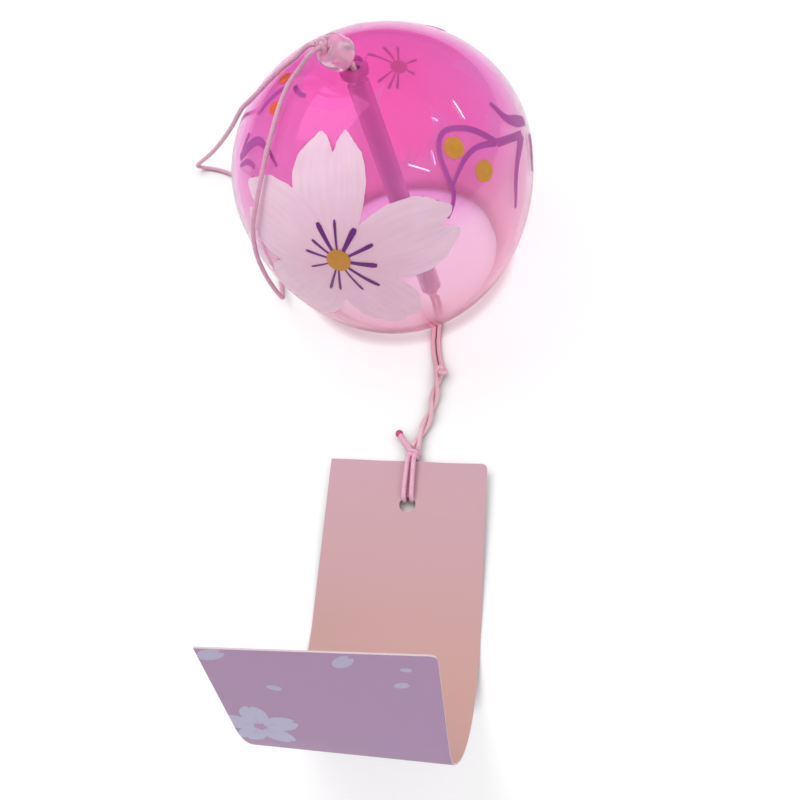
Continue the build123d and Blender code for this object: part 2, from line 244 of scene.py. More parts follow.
def route_line(points):
    """Closely spaced points along the smooth line that these control points give."""
    curve, data, spline = curve_through("route", "NURBS", points)
    data.resolution_u = 12
    spline.order_u = 3
    spline.use_endpoint_u = True
    bpy.context.view_layer.update()
    mesh = bpy.data.meshes.new_from_object(curve)
    line = [vertex.co.copy() for vertex in mesh.vertices]
    bpy.data.objects.remove(curve)
    bpy.data.meshes.remove(mesh)
    return line


def line_length(line):
    return sum((b - a).length for a, b in zip(line, line[1:]))


def evenly(line, step):
    """The same line with points at an even distance."""
    count = max(2, round(line_length(line) / step))
    spacing = line_length(line) / count
    points, walked, due = [line[0].copy()], 0.0, spacing
    for start, end in zip(line, line[1:]):
        run = (end - start).length
        while due <= walked + run + 1e-9 and len(points) < count:
            points.append(start.lerp(end, (due - walked) / run))
            due += spacing
        walked += run
    return points + [line[-1].copy()]


def line_frames(line):
    """At each point, the direction and two sides square to it that never flip over."""
    frames, side = [], None
    for index, point in enumerate(line):
        ahead = (line[min(index + 1, len(line) - 1)] - line[max(index - 1, 0)]).normalized()
        if side is None:
            side = ahead.cross(Vector((0, 0, 1)) if abs(ahead.z) < 0.9 else Vector((1, 0, 0)))
        side = (side - ahead * side.dot(ahead)).normalized()
        frames.append((point, side, ahead.cross(side)))
    return frames


def tube(line, diameter, sides=3):
    """A round tube mesh along a line; its UV map has millimetres along and turns around."""
    piece, data, _ = curve_through("tube", "POLY", line)
    data.bevel_depth = diameter / 2
    data.bevel_resolution = sides
    data.use_fill_caps = True
    select(piece)
    bpy.ops.object.convert(target="MESH")
    piece = bpy.context.object
    length = line_length(line) / MM
    layer = piece.data.uv_layers[0]
    for corner in layer.data:
        corner.uv = (corner.uv.x * length, corner.uv.y)
    layer.name = "cord"
    smooth(piece, 60)
    return piece


def plied(line, pitch, step, diameter=cord_diameter, plies=3):
    """A twisted cord: plies that wind round the line, one full turn in each pitch."""
    ply = diameter * ply_share
    lift = diameter / 2 - ply / 2
    frames = line_frames(evenly(line, step))
    strands = []
    for number in range(plies):
        strand = []
        for index, (point, side, over) in enumerate(frames):
            turn = tau * (index * step / pitch + number / plies)
            strand.append(point + (side * cos(turn) + over * sin(turn)) * lift)
        strands.append(tube(strand, ply, sides=1))
    return join("cord", strands)


# %% [markdown]
# Two effects are shared by several materials, so they are node groups: the fine threads of a
# cord, wound the other way to its twist, and a soft mottling that keeps any colour from being
# perfectly flat. A group gives out only values; the shader stays in each material.


# %% Node group helpers
def group(name, inputs, outputs):
    tree = bpy.data.node_groups.new(name, "ShaderNodeTree")
    for label, kind, value in inputs:
        socket = tree.interface.new_socket(label, in_out="INPUT", socket_type="NodeSocket" + kind)
        if value is not None:
            socket.default_value = value
    for label, kind in outputs:
        tree.interface.new_socket(label, in_out="OUTPUT", socket_type="NodeSocket" + kind)
    return tree, tree.nodes.new("NodeGroupInput"), tree.nodes.new("NodeGroupOutput")


def give(tree, socket, value):
    """Gives an input a plain value, or links another node's output to it."""
    if isinstance(value, bpy.types.NodeSocket):
        tree.links.new(value, socket)
    else:
        socket.default_value = value


def feed(tree, node, **values):
    """Fills the inputs of a node by their names, with _ for a space."""
    for label, value in values.items():
        give(tree, node.inputs[label.replace("_", " ")], value)


def add_node(tree, kind, **values):
    node = tree.nodes.new("ShaderNode" + kind)
    feed(tree, node, **values)
    return node


def math(tree, operation, first, second=0.0, third=0.0, clamp=False):
    node = add_node(tree, "Math")
    node.operation = operation
    node.use_clamp = clamp
    for socket, value in zip(node.inputs, (first, second, third)):
        give(tree, socket, value)
    return node.outputs[0]


def times(tree, first, second, clamp=False):
    return math(tree, "MULTIPLY", first, second, clamp=clamp)


def plus(tree, first, second, clamp=False):
    return math(tree, "ADD", first, second, clamp=clamp)


def minus(tree, first, second, clamp=False):
    return math(tree, "SUBTRACT", first, second, clamp=clamp)


def mix_colour(tree, share, first, second):
    node = add_node(tree, "Mix")
    node.data_type = "RGBA"
    for number, value in ((0, share), (6, first), (7, second)):
        give(tree, node.inputs[number], value)
    return node.outputs[2]


def noise(tree, vector, scale, detail=2.0):
    return add_node(tree, "TexNoise", Vector=vector, Scale=scale, Detail=detail).outputs["Fac"]


def split(tree, vector):
    """The x, y and z of a vector."""
    return add_node(tree, "SeparateXYZ", Vector=vector).outputs


def ramp(tree, value, stops):
    node = add_node(tree, "ValToRGB", Fac=value)
    elements = node.color_ramp.elements
    while len(elements) < len(stops):
        elements.new(0.5)
    for element, (position, colour) in zip(elements, stops):
        element.position = position
        element.color = colour
    return node.outputs[0]


def colour(code):
    """A linear colour from the six hexadecimal digits that a paint chart gives."""
    parts = [int(code[i : i + 2], 16) / 255 for i in (0, 2, 4)]
    return tuple(c / 12.92 if c <= 0.04045 else ((c + 0.055) / 1.055) ** 2.4 for c in parts) + (1.0,)


# %% Thread and mottle groups
def make_thread_group():
    tree, given, out = group(
        "cord_threads",
        [("UV", "Vector", None), ("Threads per mm", "Float", 3.0), ("Threads around", "Float", 2.0)],
        [("Height", "Float")],
    )
    parts = split(tree, given.outputs["UV"])
    along = times(tree, parts[0], given.outputs["Threads per mm"])
    around = times(tree, parts[1], given.outputs["Threads around"])
    wave = math(tree, "SINE", times(tree, minus(tree, along, around), pi))
    feed(tree, out, Height=math(tree, "ABSOLUTE", wave))
    return tree


thread_group = make_thread_group()


def make_mottle_group():
    tree, given, out = group(
        "soft_mottle",
        [("Vector", "Vector", None), ("Scale", "Float", 200.0), ("Amount", "Float", 0.1)],
        [("Factor", "Float"), ("Height", "Float")],
    )
    height = noise(tree, given.outputs["Vector"], given.outputs["Scale"], 4.0)
    factor = times(tree, minus(tree, height, 0.5), given.outputs["Amount"])
    feed(tree, out, Factor=factor, Height=height)
    return tree


mottle_group = make_mottle_group()


# %% Material helpers
def material(name):
    made = bpy.data.materials.new(name)
    made.use_nodes = True
    tree = made.node_tree
    return made, tree, tree.nodes["Principled BSDF"]


def coordinates(tree, kind="Object"):
    return tree.nodes.new("ShaderNodeTexCoord").outputs[kind]


def uv_map(tree, name):
    node = tree.nodes.new("ShaderNodeUVMap")
    node.uv_map = name
    return node.outputs[0]


def use_group(tree, made_group, **values):
    node = add_node(tree, "Group")
    node.node_tree = made_group
    feed(tree, node, **values)
    return node.outputs


def bump(tree, shader, height, distance, strength=1.0):
    node = add_node(tree, "Bump", Strength=strength, Distance=distance, Height=height)
    feed(tree, shader, Normal=node.outputs[0])


def mix_to_surface(tree, share, first, second):
    """Sends a mix of two shaders to the surface of the material."""
    output = next(node for node in tree.nodes if node.type == "OUTPUT_MATERIAL")
    mixed = add_node(tree, "MixShader")
    for socket, value in zip(mixed.inputs, (share, first.outputs[0], second.outputs[0])):
        tree.links.new(value, socket)
    feed(tree, output, Surface=mixed.outputs[0])


def let_lamps_through(tree, shader, tint):
    """Glass bends light too much for lamps to find what is inside, so their rays pass straight."""
    path = add_node(tree, "LightPath")
    clear = add_node(tree, "BsdfTransparent", Color=tint)
    mix_to_surface(tree, path.outputs["Is Shadow Ray"], shader, clear)


# %% [markdown]
# The string is a thin twisted cord of pale pink silk-like thread with a faint lustre. A little
# sheen lifts its edges, and each ply carries fine threads wound against its twist.


# %% Cord material
def cord_material(name, base, shadow, threads=3.4):
    made, tree, shader = material(name)
    uv = uv_map(tree, "cord")
    height = use_group(tree, thread_group, UV=uv, Threads_per_mm=threads, Threads_around=2.0)["Height"]
    mottle = use_group(tree, mottle_group, Vector=coordinates(tree), Scale=900.0, Amount=0.5)
    share = plus(tree, times(tree, height, 0.75), mottle["Factor"], clamp=True)
    feed(tree, shader, Base_Color=mix_colour(tree, share, shadow, base), Roughness=0.5)
    feed(tree, shader, Sheen_Weight=0.35, Sheen_Roughness=0.35)
    bump(tree, shader, height, 0.05 * MM, 0.7)
    return made


loop_string_finish = cord_material("loop_string", colour("FBC6DC"), colour("CE8FB2"))
tail_string_finish = cord_material("tail_string", colour("FFE0E6"), colour("EFB0C0"))
inner_string_finish = cord_material("inner_string", colour("F2C6DC"), colour("BE84A8"))
tie_string_finish = cord_material("tie_string", colour("FFD4E6"), colour("E39ABC"))

# %% [markdown]
# The hanging loop is one strand. It leaves the knot on the bead, falls over the left shoulder of
# the globe to the table, runs back behind it to a sharp fold, and climbs again to the knot. Its
# points are the ones that the construction uses.

# %% Hanging loop
loop_points = [
    beside_bell(place)
    for place in (
        (-7.1, -1.9, 79.8), (-9.3, -2.5, 78.5), (-11.2, -1.8, 75.9), (-13.2, -1.0, 73.3),
        (-15.4, -1.5, 71.4), (-17.1, -4.4, 70.1), (-18.4, -8.6, 68.8), (-19.7, -13.1, 66.9),
        (-21.3, -17.6, 64.2), (-23.2, -22.0, 60.2), (-25.7, -25.7, 54.8), (-28.6, -27.4, 47.8),
        (-30.2, -28.2, 39.5), (-30.9, -27.2, 30.0), (-31.6, -24.6, 20.5), (-32.6, -20.9, 11.5),
        (-34.8, -15.6, 4.2), (-37.6, -8.0, 0.7), (-40.4, 2.4, 0.7), (-43.4, 14.0, 0.7),
        (-48.4, 25.4, 0.7), (-55.4, 34.4, 0.7), (-62.6, 39.4, 0.7), (-68.0, 41.6, 0.7),
        (-71.4, 42.3, 0.8), (-73.1, 42.0, 1.8), (-72.9, 40.8, 3.4), (-70.6, 38.9, 6.4),
        (-66.0, 35.4, 11.6), (-59.0, 29.2, 20.4), (-50.5, 21.6, 32.0), (-42.2, 13.8, 44.2),
        (-36.0, 6.6, 54.4), (-31.6, 1.4, 61.4), (-27.9, 0.2, 64.8), (-25.0, 1.6, 66.6),
        (-22.0, 3.6, 68.2), (-18.2, 4.6, 70.5), (-14.4, 3.9, 73.3), (-11.4, 2.6, 76.6),
        (-9.3, 0.8, 79.1), (-7.15, -0.45, 79.95),
    )
]
loop_line = route_line(loop_points)
loop_string = plied(loop_line, tight_pitch, string_step)
finish_piece(loop_string, "hanging_loop_string", "loop", loop_string_finish, ["hanging_loop"])
print("loop of", round(line_length(loop_line) / MM, 1), "mm")

# %% [markdown]
# A small overhand knot pulled tight looks like a trefoil: three lobes that pass over and under
# each other. Its line comes from the usual trefoil formula, and its size from the ball that the
# construction keeps free for it.


# %% Knots
def knot_line(centre, radius, thickness, facing):
    reach = (radius - thickness / 2) / 3
    ahead = facing.normalized()
    side = ahead.orthogonal().normalized()
    over = ahead.cross(side)
    line = []
    count = 60
    for number in range(count + 1):
        t = tau * number / count
        x, y, z = sin(t) + 2 * sin(2 * t), cos(t) - 2 * cos(2 * t), -1.6 * sin(3 * t)
        line.append(centre + (side * x + over * y + ahead * z) * reach)
    return line


def knot(name, centre, radius, thickness, facing, body, finish, replaces):
    """A knot; its radius and the thickness of its string are in millimetres."""
    piece = tube(knot_line(centre, radius * MM, thickness * MM, facing), thickness * MM)
    return finish_piece(piece, name, body, finish, [replaces])


loop_knot = knot(
    "loop_knot_string", loop_knot_centre, 1.9, 1.1, bead_up, "loop", loop_string_finish, "loop_knot"
)
line_length(loop_line)
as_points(evenly(loop_line, 1.0 * MM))

# %% [markdown]
# The globe is blown glass. Its outside is turned ring by ring: a shallow dome above the widest
# ring and a longer curve below it down to the mouth. Solidify then gives it the even wall that
# blown glass has, and Bevel rounds the two cut rims.

# %% Globe
globe_radius = 40.0 * MM
widest_height = 37.0 * MM
crown_rise = 34.0 * MM
globe_height = widest_height + crown_rise
glass_bending = 1.5
clear_share = 0.83
glass_wall = 1.5 * MM
crown_hole_radius = 2.5 * MM
rim_round = 0.45 * MM
globe_sides = 128


def side_radius(height, inset=0.0):
    """Radius of the globe below its widest ring, which curves on one large circle."""
    out, mouth = globe_radius - inset, mouth_radius - inset
    bend = (out - mouth) / 2 + widest_height**2 / (2 * (out - mouth))
    return out - bend + sqrt(bend**2 - (widest_height - height) ** 2)


def globe_profile(inset=0.0, hole=crown_hole_radius, low_rings=10, dome_rings=18):
    rings = [
        (side_radius(widest_height * number / low_rings, inset), widest_height * number / low_rings)
        for number in range(low_rings)
    ]
    last = acos(hole / (globe_radius - inset))
    for number in range(dome_rings + 1):
        angle = last * number / dome_rings
        radius = (globe_radius - inset) * cos(angle)
        rings.append((radius, widest_height + (crown_rise - inset) * sin(angle)))
    return rings


globe = turned(globe_profile(), globe_sides)
modify(globe, "SOLIDIFY", thickness=glass_wall, offset=-1, use_even_offset=True, use_rim=True)
modify(globe, "BEVEL", width=rim_round, segments=3, limit_method="ANGLE", angle_limit=radians(50))
modify(globe, "SUBSURF", levels=1, render_levels=1)
settle(globe, bell_place)
smooth(globe, 60)
print("globe", globe.dimensions)

# %% [markdown]
# Clear glass tinted hot pink round the crown, fading to a pale greyish pink at the mouth: the
# colour is sprayed on, so its edge is soft and a little uneven. The tint is laid by height, a
# small share of plain colour gives the haze of the sprayed coat, and a slow ripple in the normal
# gives the slight waviness of a bell blown by mouth.


# %% Globe material
def globe_material():
    made, tree, shader = material("tinted_blown_glass")
    place = coordinates(tree)
    drift = times(tree, minus(tree, noise(tree, place, 28.0), 0.5), 0.16)
    height = plus(tree, math(tree, "DIVIDE", split(tree, place)[2], globe_height), drift)
    stops = [
        (0.0, (0.88, 0.40, 0.52, 1)),
        (0.38, (0.94, 0.60, 0.76, 1)),
        (0.62, (0.97, 0.62, 0.84, 1)),
        (0.80, (1.0, 0.38, 0.84, 1)),
        (1.0, (1.0, 0.24, 0.68, 1)),
    ]
    feed(tree, shader, Base_Color=ramp(tree, height, stops), Roughness=0.02, IOR=glass_bending)
    feed(tree, shader, Transmission_Weight=clear_share)
    bump(tree, shader, noise(tree, place, 45.0, 1.0), 0.4 * MM, 0.25)
    let_lamps_through(tree, shader, (0.97, 0.87, 0.92, 1))
    return made


glass_finish = globe_material()
finish_piece(globe, "glass_globe", "bell", glass_finish, ["glass_bell"])

# %% [markdown]
# Many bells of this kind are painted from the inside. On this one the front blossom covers the
# tint of the glass, so the paint lies outside: opaque white blossoms, branches drawn in one
# stroke, and dots of ochre. Each stroke is a thin skin with its own thickness. It is drawn flat or
# along a line, and Shrinkwrap then lays it on a helper surface just outside the glass.

# %% Painted surface and how paint is laid on it
paint_gap = 0.1 * MM
paint_thickness = 0.08 * MM
painted_side = turned(globe_profile(-paint_gap, hole=0.4 * MM, low_rings=24, dome_rings=40), 160)
settle(painted_side, bell_place)
painted_side.name = "painted_side_helper"
painted_side.hide_render = True


def on_wall(azimuth, height):
    """A point on the outside of the globe at this height in millimetres."""
    lifted = height * MM
    if lifted < widest_height:
        radius = side_radius(lifted)
    else:
        radius = globe_radius * sqrt(1 - min(1.0, (lifted - widest_height) / crown_rise) ** 2)
    angle = radians(azimuth)
    return bell_place @ Vector((radius * cos(angle), radius * sin(angle), lifted))


def wall_frame(azimuth, height):
    """A place on the wall with its right and its up."""
    centre = on_wall(azimuth, height)
    right = (on_wall(azimuth + 1, height) - on_wall(azimuth - 1, height)).normalized()
    up = (on_wall(azimuth, height + 0.5) - on_wall(azimuth, height - 0.5)).normalized()
    return centre, right, up


def patch(along, across, place):
    """A grid of faces whose points go where place(share along, side from -1 to 1) says."""
    deselect()
    bpy.ops.mesh.primitive_grid_add(x_subdivisions=along, y_subdivisions=across, size=1, calc_uvs=True)
    piece = bpy.context.object
    for vertex in piece.data.vertices:
        vertex.co = place(vertex.co.x + 0.5, 2 * vertex.co.y)
    piece.data.uv_layers[0].name = "brush"
    return piece


def lay_paint(piece, over=0.0):
    """Lays paint on the glass, or this far over the paint that is there already."""
    way = {"wrap_method": "NEAREST_SURFACEPOINT", "wrap_mode": "ABOVE_SURFACE"}
    modify(piece, "SHRINKWRAP", target=painted_side, offset=over, **way)
    modify(piece, "SOLIDIFY", thickness=paint_thickness, offset=0)
    return smooth(piece)


# %% [markdown]
# A blossom has five broad petals with a notch at the tip. One petal is a grid bent into that
# outline in the plane that touches the wall at the blossom's centre: it widens to three fifths of
# its length, and its two lobes stand out past the notch. Every petal has its own direction,
# length, widths to the left and right, notch, and height over the paint under it, because each
# was painted by hand. The last petal also leans to one side.


# %% Blossoms
def at_blossom(frame_on_wall, heading, ahead, aside):
    """A point this far ahead and aside of a heading, in millimetres from the blossom's heart."""
    centre, east, north = frame_on_wall
    turn = radians(heading)
    x = ahead * cos(turn) - aside * sin(turn)
    y = ahead * sin(turn) + aside * cos(turn)
    return centre + (east * x + north * y) * MM


def petal(frame_on_wall, heading, length, left, right, notch, over, skew=0.0):
    lobe_share, lobe_round = 0.58, 0.17
    start_share = 0.05

    def place(share, side):
        width = (left if side > 0 else right) * sin(pi * (0.06 + 0.74 * share)) ** 0.75
        tip = abs(side)
        if tip < lobe_share:
            dip = notch * (1 - tip / lobe_share) ** 1.8
        else:
            dip = lobe_round * ((tip - lobe_share) / (1 - lobe_share)) ** 2
        ahead = length * (start_share + (1 - start_share) * share - dip * share**5)
        ahead *= 1 - skew * side * share
        return at_blossom(frame_on_wall, heading, ahead, side * width)

    return lay_paint(patch(36, 24, place), over * MM)


def stroke(points, widths):
    """A brush stroke along points on the wall, given as azimuth and height."""
    line = evenly(route_line([on_wall(*point) for point in points]), 0.8 * MM)
    middle = bell_place @ Vector((0, 0, widest_height))

    def place(share, side):
        at = share * (len(line) - 1)
        index = min(int(at), len(line) - 2)
        point = line[index].lerp(line[index + 1], at - index)
        ahead = (line[index + 1] - line[index]).normalized()
        across = ahead.cross(point - middle).normalized()
        part = share * (len(widths) - 1)
        first = min(int(part), len(widths) - 2)
        width = widths[first] + (widths[first + 1] - widths[first]) * (part - first)
        return point + across * side * width * MM * 0.75

    return lay_paint(patch(len(line), 4, place))


def stamen(frame_on_wall, heading, start, length, width):
    def place(share, side):
        half = width * (0.35 + 0.5 * share) * (1 if share < 0.95 else 0.6)
        return at_blossom(frame_on_wall, heading, start + (length - start) * share, side * half)

    return patch(8, 3, place)


def dot(frame_on_wall, radius):
    centre, east, north = frame_on_wall

    def place(share, side):
        # a square grid pressed into a disc
        u, v = 2 * share - 1, side
        x, y = u * sqrt(1 - v * v / 2), v * sqrt(1 - u * u / 2)
        return centre + (east * x + north * y) * radius * MM

    return patch(12, 12, place)


front_blossom = wall_frame(-119.3, 44.7)
front_shapes = [
    (91, 43.5, 12.8, 9.8, 0.26, 0.0),
    (13, 38.5, 12.0, 13.0, 0.20, 0.02),
    (-62, 35.5, 9.8, 9.8, 0.08, 0.04),
    (-135, 38, 11.8, 11.8, 0.10, 0.06),
    (157, 38, 11.4, 13.6, 0.22, 0.08, 0.15),
]
front_petals = [petal(front_blossom, *shape) for shape in front_shapes]
print("front blossom at", front_blossom[0])

# %% [markdown]
# The brush work around the blossom: twelve violet stamens on an ochre disc, and behind it the
# far blossom, which shows through the glass. In front, stamens and disc lie on the petals. At the
# back they lie under the petals too, next to the glass, because they show through the wall.

# %% Blossom hearts
front_stamens = [
    (114, 10.9, 0.9), (89, 10.9, 0.45), (59, 10.1, 1.0), (25, 10.1, 0.7), (-11, 9.5, 0.9),
    (-45, 12.6, 0.7), (-67, 11.0, 0.4), (-100, 10.5, 0.45), (-114, 11.2, 0.5), (-161, 8.3, 0.35),
    (166, 8.7, 0.5), (140, 8.2, 0.5),
]
far_stamens = [
    (-32, 8.6, 0.6), (-58, 8.8, 0.6), (-76, 8.0, 0.6), (74, 9.7, 0.7), (100, 8.7, 0.6),
    (157, 6.6, 0.6), (216, 5.3, 0.6), (44, 10.8, 0.6),
]
far_blossom = wall_frame(66.4, 37.5)
far_shapes = [
    (3, 36.5, 12.0, 11.5, 0.08, 0.14),
    (70, 36, 11.5, 11.5, 0.12, 0.16),
    (135, 37, 11.5, 11.5, 0.12, 0.18),
    (203, 39.5, 12.5, 11.0, 0.10, 0.20),
    (272, 34, 9.0, 8.5, 0.15, 0.22),
]
far_petals = [petal(far_blossom, *shape) for shape in far_shapes]
over_front_petals = 0.18 * MM
over_front_stamens = 0.26 * MM
over_far_petals = 0.34 * MM
stamen_pieces = []
for heading, length, width in front_stamens:
    piece = stamen(front_blossom, heading, 1.5, length, width)
    stamen_pieces.append(lay_paint(piece, over_front_petals))
for heading, length, width in far_stamens:
    for over in (0.0, over_far_petals):
        stamen_pieces.append(lay_paint(stamen(far_blossom, heading, 2.7, length, width), over))
front_disc = lay_paint(dot(front_blossom, 3.0), over_front_stamens)
far_discs = [lay_paint(dot(far_blossom, 2.5), over) for over in (0.0, over_far_petals)]

# %% Branches and dots
long_branch = [(-42, 53.1), (-45, 57.7), (-51, 60.7), (-60, 62.3)]
long_branch += [(-68, 60), (-70, 55.3), (-71, 51.1), (-77, 48.4)]
branches = [
    ([(-18, 46), (-26, 50.6), (-29, 53.9), (-28, 55.8), (-28, 57.7)], (1.6, 2.2, 1.4, 0.8)),
    ([(-27, 47), (-34, 50.2), (-42, 53.1)], (1.5, 1.3, 1.4)),
    (long_branch, (1.1, 1.0, 0.9, 0.8, 0.8, 0.6)),
    ([(-43, 53.5), (-48, 55.5), (-54, 56.6), (-63, 56), (-70, 53.7)], (1.1, 0.9, 0.8, 0.5)),
    ([(-27, 47), (-36, 46.3), (-42, 44.2), (-46, 40.7), (-48, 36.2)], (1.7, 1.3, 1.0, 0.6)),
    ([(-19, 41.9), (-26, 40.2), (-28, 35.1)], (1.3, 1.0, 0.6)),
    ([(-166, 61.8), (-171, 61.9), (-175, 60.9), (-178, 59.3), (-180, 55.5)], (1.0, 1.6, 1.6, 1.2)),
    ([(-166, 57.8), (-171, 57.7), (-175, 56.3), (-177, 54.6)], (0.8, 1.0, 0.7)),
    ([(166, 67.4), (165, 66.5), (168, 64.7), (171, 63)], (0.9, 1.0, 0.7)),
    ([(171, 68.6), (180, 68.6), (-172, 68.8), (-167, 69)], (0.8, 0.9, 0.7)),
    ([(-162, 62), (-157, 61.4), (-152, 60.7)], (0.6, 0.5)),
    ([(176, 60.2), (178, 58.8), (179, 57.1)], (0.8, 0.6)),
]
branch_pieces = [stroke(points, widths) for points, widths in branches]
ochre_dots = [lay_paint(dot(wall_frame(*place), 2.6)) for place in ((-60, 59), (-55, 51.7))]
red_dots = [lay_paint(dot(wall_frame(*place), 1.8)) for place in ((153, 67.2), (178, 65.9))]
print(len(branches), "branches,", len(stamen_pieces), "stamens,", len(ochre_dots + red_dots), "dots")

# %% [markdown]
# Hand-brushed paint is not flat in colour. Petals are thin and milky near the tips, with streaks
# that run along the brush, so their material uses the brush coordinates that each patch carries:
# the first runs along the stroke and the second across it. The far blossom is lit from behind
# through its thin paint. A little light of its own stands for that, and only where it is seen
# through the glass.


# %% Paint materials
def paint_material(name, thick, thin, streaks=26.0, pool=None, glow=0.0):
    made, tree, shader = material(name)
    brush = uv_map(tree, "brush")
    stretch = add_node(tree, "Mapping", Vector=brush, Scale=(2.0, streaks, 1))
    hairs = noise(tree, stretch.outputs[0], 1.0, 3.0)
    mottle = use_group(tree, mottle_group, Vector=coordinates(tree), Scale=160.0, Amount=0.9)
    share = plus(tree, times(tree, hairs, 1.3), mottle["Factor"])
    share = minus(tree, share, 0.25, clamp=True)
    shade = mix_colour(tree, share, thin, thick)
    if pool:
        near = minus(tree, 1.0, times(tree, split(tree, brush)[0], 2.6), clamp=True)
        shade = mix_colour(tree, times(tree, near, 0.8), shade, pool)
    feed(tree, shader, Base_Color=shade, Roughness=0.4)
    if glow:
        path = add_node(tree, "LightPath")
        through = times(tree, path.outputs["Is Transmission Ray"], glow)
        feed(tree, shader, Emission_Color=shade, Emission_Strength=through)
    bump(tree, shader, hairs, 0.03 * MM, 0.4)
    return made


petal_paint = paint_material(
    "petal_paint", colour("F8D6E8"), colour("EBC2D8"), streaks=14.0, pool=colour("EFC0D8")
)
far_petal_paint = paint_material(
    "far_petal_paint", colour("FFF2FA"), colour("F8DEF0"), pool=colour("F0A8CC"), glow=0.85
)
stamen_paint = paint_material("stamen_paint", colour("5E1A6E"), colour("7E2A86"))
branch_paint = paint_material("branch_paint", colour("9A3494"), colour("BC50A6"), streaks=8.0)
ochre_paint = paint_material("ochre_paint", colour("D89A2E"), colour("C4842A"), streaks=6.0)
red_paint = paint_material("red_paint", colour("F0682E"), colour("E05A2A"), streaks=6.0)

for name, pieces, paint in (
    ("painted_blossom_front", front_petals, petal_paint),
    ("painted_blossom_far", far_petals, far_petal_paint),
    ("painted_stamens", stamen_pieces, stamen_paint),
    ("painted_branches", branch_pieces, branch_paint),
    ("painted_ochre_dots", ochre_dots + [front_disc], ochre_paint),
    ("painted_red_dots", red_dots + far_discs, red_paint),
):
    finish_piece(join(name, pieces), name, "bell", paint)
bpy.data.objects.remove(painted_side)

# %% [markdown]
# The bead is a short milky glass barrel that leans over beside the crown hole; its bore takes the
# doubled string. Its profile is turned in one closed ring, so the bore is part of the same skin.

# %% Bead
bead_radius = 4.1 * MM
bead_half = 3.5 * MM
bead_round = 2.0 * MM
bead_bore = 1.75 * MM
bore_round = 0.3 * MM
milky_clear_share = 0.7


def corner_ring(radius, height, round_radius, first, steps):
    """Profile points round a quarter arc that has its centre at this radius and height."""
    angles = [radians(first + 90 * step / steps) for step in range(steps + 1)]
    return [(radius + round_radius * cos(a), height + round_radius * sin(a)) for a in angles]


def barrel_profile(outer, bore, half, outer_round, inner_round, steps=8):
    outside, inside = outer - outer_round, bore + inner_round
    return (
        corner_ring(outside, outer_round - half, outer_round, -90, steps)
        + corner_ring(outside, half - outer_round, outer_round, 0, steps)
        + corner_ring(inside, half - inner_round, inner_round, 90, 3)
        + corner_ring(inside, inner_round - half, inner_round, 180, 3)
    )


def facing(direction):
    return direction.to_track_quat("Z", "Y").to_matrix().to_4x4()


bead = turned(barrel_profile(bead_radius, bead_bore, bead_half, bead_round, bore_round), 64, closed=True)
settle(bead, Matrix.Translation(bead_centre) @ facing(bead_up))
smooth(bead, 60)


def mottled(tree, first, second, scale, amount):
    """A colour that drifts softly between two, and the height that goes with it."""
    mottle = use_group(tree, mottle_group, Vector=coordinates(tree), Scale=scale, Amount=amount)
    share = plus(tree, mottle["Factor"], 0.5, clamp=True)
    return mix_colour(tree, share, first, second), mottle["Height"]


def small_glass(name, tint, shadow_tint, roughness, bending=glass_bending):
    """Glass with a little plain colour in it, which makes it milky."""
    made, tree, shader = material(name)
    paler = tuple(min(1.0, c * 1.08) for c in tint[:3]) + (1.0,)
    base, height = mottled(tree, tint, paler, 260.0, 0.5)
    feed(tree, shader, Base_Color=base, Roughness=roughness, IOR=bending)
    feed(tree, shader, Transmission_Weight=milky_clear_share)
    bump(tree, shader, height, 0.15 * MM, 0.2)
    let_lamps_through(tree, shader, shadow_tint)
    return made


bead_finish = small_glass("milky_bead_glass", (0.96, 0.66, 0.80, 1), (0.95, 0.85, 0.9, 1), 0.08)
finish_piece(bead, "bead_barrel", "bead", bead_finish, ["crown_bead"])

# %% [markdown]
# Inside the crown a washer takes the weight of the bell, and a knot under it holds it up. The
# glass tube hangs from that knot on the doubled string and is held by the knot at its end.

# %% Washer and tube
washer_radius = 3.6 * MM
washer_half = 0.9 * MM
tube_radius = 2.8 * MM
tube_bore = 1.75 * MM
tube_half = 30.5 * MM
tube_drop = 0.6 * MM
hanging_knot_radius = 1.6 * MM
washer_height = hanging_knot_radius + 0.2 * MM + washer_half
washer_profile = barrel_profile(washer_radius, tube_bore, washer_half, 0.4 * MM, 0.05 * MM, 4)
washer = turned(washer_profile, 48, closed=True)
settle(washer, Matrix.Translation(clapper_pivot + bell_up * washer_height) @ bell_turn)
smooth(washer)
washer_finish, tree, shader = material("washer_plastic")
washer_tint, height = mottled(tree, colour("A8479A"), colour("C46AAE"), 500.0, 0.6)
feed(tree, shader, Base_Color=washer_tint, Roughness=0.3)
bump(tree, shader, height, 0.05 * MM, 0.3)
finish_piece(washer, "crown_washer", "bell", washer_finish, ["inner_stopper"])

tube_profile = barrel_profile(tube_radius, tube_bore, tube_half, 0.25 * MM, 0.25 * MM, 3)
tube_glass = turned(tube_profile, 48, closed=True)
tube_middle = clapper_pivot + clapper_down * (tube_drop + tube_half)
settle(tube_glass, Matrix.Translation(tube_middle) @ facing(clapper_down))
smooth(tube_glass, 60)
tube_tint = (0.82, 0.56, 0.76, 1)
tube_finish = small_glass("clapper_tube_glass", tube_tint, (0.9, 0.75, 0.85, 1), 0.25, 1.2)
finish_piece(tube_glass, "clapper_glass_tube", "tube", tube_finish, ["clapper_tube"])

# %% [markdown]
# The string runs doubled from the loop's knot down to the paper. Each stretch between two knots
# rides on its own body, as in the construction. Two strands lie side by side at a little more
# than their thickness.

